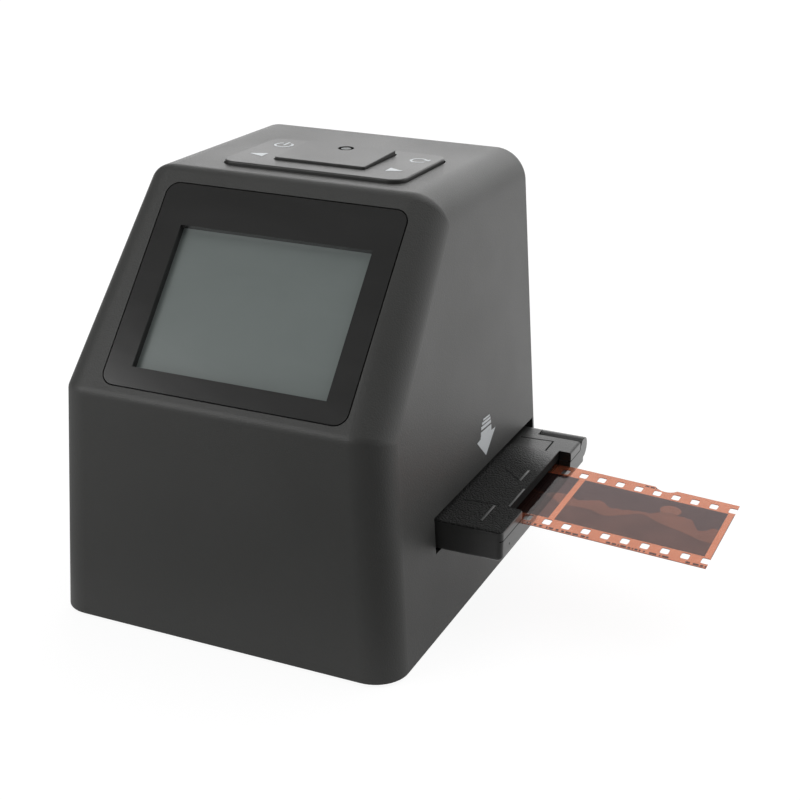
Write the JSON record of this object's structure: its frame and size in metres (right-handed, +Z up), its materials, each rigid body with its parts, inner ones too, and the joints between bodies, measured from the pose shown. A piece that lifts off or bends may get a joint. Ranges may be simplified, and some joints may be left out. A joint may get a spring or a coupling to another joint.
{
  "type": "film negative scanner",
  "caption": "Desk scanner for negatives: tapered housing with a sloped display, rocking key plate with an enter key, and a hinged-lid film tray through its side.",
  "frame": {"origin": "on the table under the middle of the housing, where its feet stand", "axes": "+Z up; +X towards the end that the film tray is pulled out of, along the film; -Y towards the user, the side with the display"},
  "size_m": [0.152, 0.0952, 0.104],
  "materials": {
    "shell_plastic": "matte, fine grain",
    "base_plastic": "matte",
    "foot_rubber": "matte",
    "screw_steel": "zinc plated",
    "panel_plastic": "gloss",
    "display_glass": "polished",
    "sheet_steel": "satin",
    "light_plate": "frosted",
    "ribbon_plastic": "satin",
    "key_plastic": "satin",
    "mat_rubber": "matte",
    "board_laminate": "satin",
    "chip_epoxy": "matte",
    "ring_plastic": "satin",
    "light_guide": "frosted",
    "led_resin": "frosted",
    "can_aluminium": "satin",
    "inner_plastic": "matte",
    "white_plastic": "matte",
    "lens_glass": "polished",
    "tray_plastic": "grained",
    "magnet_nickel": "polished",
    "film_base": "semi-gloss"
  },
  "bodies": {
    "housing": {"upper_housing": "shell_plastic", "base_plate": "base_plastic", "rubber_feet": "foot_rubber", "base_screws": "screw_steel", "screen_panel": "panel_plastic", "display_glass": "display_glass", "display_frame": "sheet_steel", "display_backlight": "light_plate", "display_screws": "screw_steel", "display_cable": "ribbon_plastic", "key_board": "board_laminate", "key_board_screws": "screw_steel", "enter_switch": "chip_epoxy", "status_led": "led_resin", "key_cable": "ribbon_plastic", "main_board": "board_laminate", "main_board_screws": "screw_steel", "main_chips": "chip_epoxy", "capacitors": "can_aluminium", "card_socket": "sheet_steel", "cable_socket": "sheet_steel", "lower_guide": "inner_plastic", "upper_guide": "inner_plastic", "detent_spring": "screw_steel", "light_box": "white_plastic", "diffuser": "light_plate", "led_board": "board_laminate", "leds": "led_resin", "light_cable": "inner_plastic", "lens_funnel": "inner_plastic", "lens_mount": "inner_plastic", "lens_barrel": "inner_plastic", "front_lens": "lens_glass", "rear_lens": "lens_glass", "sensor_board": "board_laminate", "image_sensor": "chip_epoxy", "sensor_screws": "screw_steel", "sensor_cable": "ribbon_plastic"},
    "tray": {"tray_lower": "tray_plastic", "tray_lid": "tray_plastic", "tray_hinge_pin": "screw_steel", "tray_magnets": "magnet_nickel", "lid_keepers": "magnet_nickel"},
    "film": {"film_strip": "film_base"},
    "enter_key": {"enter_button": "key_plastic", "status_ring": "ring_plastic", "status_light_guide": "light_guide"},
    "key_rocker": {"key_mat": "mat_rubber"},
    "key_cover": {"key_plate": "key_plastic"}
  },
  "joints": [
    {"name": "tray_slide", "type": "slide", "parent": "housing", "child": "tray", "axis": [1, 0, 0], "range_m": [0, 0.088]},
    {"name": "film_slide", "type": "slide", "parent": "tray", "child": "film", "axis": [1, 0, 0], "range_m": [0, 0.076]},
    {"name": "enter_press", "type": "slide", "parent": "housing", "child": "enter_key", "axis": [0, 0, -1], "range_m": [0, 0.0004], "stiffness_N_per_m": 300, "springref_m": -0.0005},
    {"name": "key_rock_front_back", "type": "hinge", "parent": "housing", "child": "key_rocker", "pos_m": [0.00215, 0.0109, 0.0984], "axis": [1, 0, 0], "range_deg": [-1.5, 1.5], "stiffness_Nm_per_rad": 0.2},
    {"name": "key_rock_left_right", "type": "hinge", "parent": "key_rocker", "child": "key_cover", "pos_m": [0.00215, 0.0109, 0.0984], "axis": [0, 1, 0], "range_deg": [-1, 1], "stiffness_Nm_per_rad": 0.4}
  ]
}
